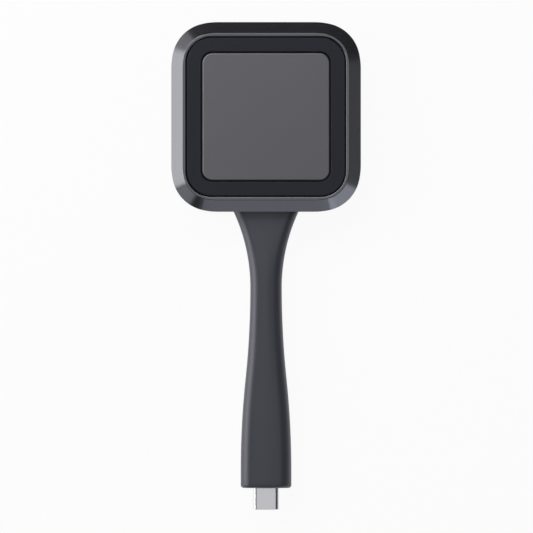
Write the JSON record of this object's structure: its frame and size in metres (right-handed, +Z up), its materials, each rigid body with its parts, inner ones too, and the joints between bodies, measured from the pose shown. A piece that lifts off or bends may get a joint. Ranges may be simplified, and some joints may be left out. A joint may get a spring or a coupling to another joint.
{
  "type": "wireless presentation dongle",
  "caption": "Square push-button dongle with a light ring round its button, and a reversible plug on a flexible moulded neck.",
  "frame": {"origin": "middle of the foot pad's underside, under the middle of the square head", "axes": "+Z up out of the button, -Y from the head along the neck to the plug, +X to the right as seen from above with the plug pointing at the viewer"},
  "size_m": [0.06, 0.1544, 0.0135],
  "materials": {
    "graphite_metal": "bead-blasted, graphite anodised",
    "cover_plastic": "fine spark-eroded texture",
    "smoked_plastic": "smoked, satin",
    "milky_plastic": "milky, frosted",
    "inner_plastic": "moulded, glass filled",
    "neck_rubber": "soft satin overmould",
    "foot_rubber": "matte silicone with moulded grip lines",
    "gasket_foam": "thin closed foam",
    "screw_steel": "black-nickel plated",
    "spring_steel": "drawn wire",
    "plug_steel": "drawn stainless, satin",
    "shield_tin": "tinned sheet",
    "spreader_metal": "bare rolled",
    "board_laminate": "dark green solder mask",
    "chip_black": "moulded epoxy",
    "ceramic": "fired ceramic with tinned ends",
    "emitter_white": "clear resin over phosphor",
    "thermal_grey": "soft gap filler",
    "socket_white": "moulded nylon",
    "wire_jacket": "thin insulation",
    "cable_jacket": "smooth jacket",
    "contact_gold": "gold plated",
    "plunger_plastic": "moulded acetal"
  },
  "bodies": {
    "head": {"bezel_frame": "graphite_metal", "board_screws": "screw_steel", "button_spring_1": "spring_steel", "button_spring_2": "spring_steel", "button_spring_3": "spring_steel", "button_spring_4": "spring_steel", "cable_clamp": "inner_plastic", "cable_connector": "socket_white", "cable_root": "cable_jacket", "cable_socket": "socket_white", "cable_wires": "wire_jacket", "capacitors": "ceramic", "case_screws": "screw_steel", "chip_antennas": "ceramic", "clamp_screws": "screw_steel", "clock_crystal": "ceramic", "foot_pad": "foot_rubber", "heat_spreader": "spreader_metal", "inner_frame": "inner_plastic", "light_guide": "milky_plastic", "light_ring": "smoked_plastic", "main_board": "board_laminate", "memory_chip": "chip_black", "neck_root": "neck_rubber", "radio_cover": "shield_tin", "radio_module": "board_laminate", "rear_cover": "cover_plastic", "ring_gasket": "gasket_foam", "shield_can": "shield_tin", "status_lights": "emitter_white", "storage_chip": "chip_black", "supply_chip": "chip_black", "supply_coils": "chip_black", "switch_cover": "shield_tin", "switch_dome": "spring_steel", "switch_housing": "inner_plastic", "system_chip": "chip_black", "thermal_pad": "thermal_grey"},
    "button": {"button_cap": "graphite_metal", "button_carrier": "inner_plastic", "button_pusher": "foot_rubber"},
    "switch_plunger": {"switch_plunger": "plunger_plastic"},
    "neck_upper": {"neck_upper": "neck_rubber", "cable_upper": "cable_jacket"},
    "neck_lower": {"neck_lower": "neck_rubber", "cable_lower": "cable_jacket"},
    "plug": {"plug_boot": "neck_rubber", "cable_end": "cable_jacket", "plug_shell": "plug_steel", "plug_insulator": "inner_plastic", "plug_contacts": "contact_gold", "plug_latches": "plug_steel", "paddle_card": "board_laminate", "paddle_chips": "chip_black", "plug_shield": "shield_tin", "plug_crimp": "shield_tin"}
  },
  "joints": [
    {"name": "button_press", "type": "slide", "parent": "head", "child": "button", "axis": [0, 0, -1], "range_m": [0, 0.0006], "stiffness_N_per_m": 2500, "springref_m": -0.0004, "deforming": ["button_spring_1", "button_spring_2", "button_spring_3", "button_spring_4"]},
    {"name": "plunger_press", "type": "slide", "parent": "head", "child": "switch_plunger", "axis": [0, 0, -1], "range_m": [0, 0.0006]},
    {"name": "neck_bend_head", "type": "hinge", "parent": "head", "child": "neck_upper", "pos_m": [0, -0.052, 0.0054], "axis": [-1, 0, 0], "range_deg": [-35, 35], "stiffness_Nm_per_rad": 0.15, "deforming": ["neck_upper", "cable_upper"]},
    {"name": "neck_sway", "type": "hinge", "parent": "neck_upper", "child": "neck_lower", "pos_m": [0, -0.066, 0.0054], "axis": [0, 0, 1], "range_deg": [-15, 15], "stiffness_Nm_per_rad": 0.25},
    {"name": "neck_bend_plug", "type": "hinge", "parent": "neck_lower", "child": "plug", "pos_m": [0, -0.08, 0.0054], "axis": [-1, 0, 0], "range_deg": [-35, 35], "stiffness_Nm_per_rad": 0.15, "deforming": ["neck_lower", "cable_lower"]}
  ],
  "couplings": [
    {"joint": "plunger_press", "follows": "button_press", "ratio": 1}
  ]
}
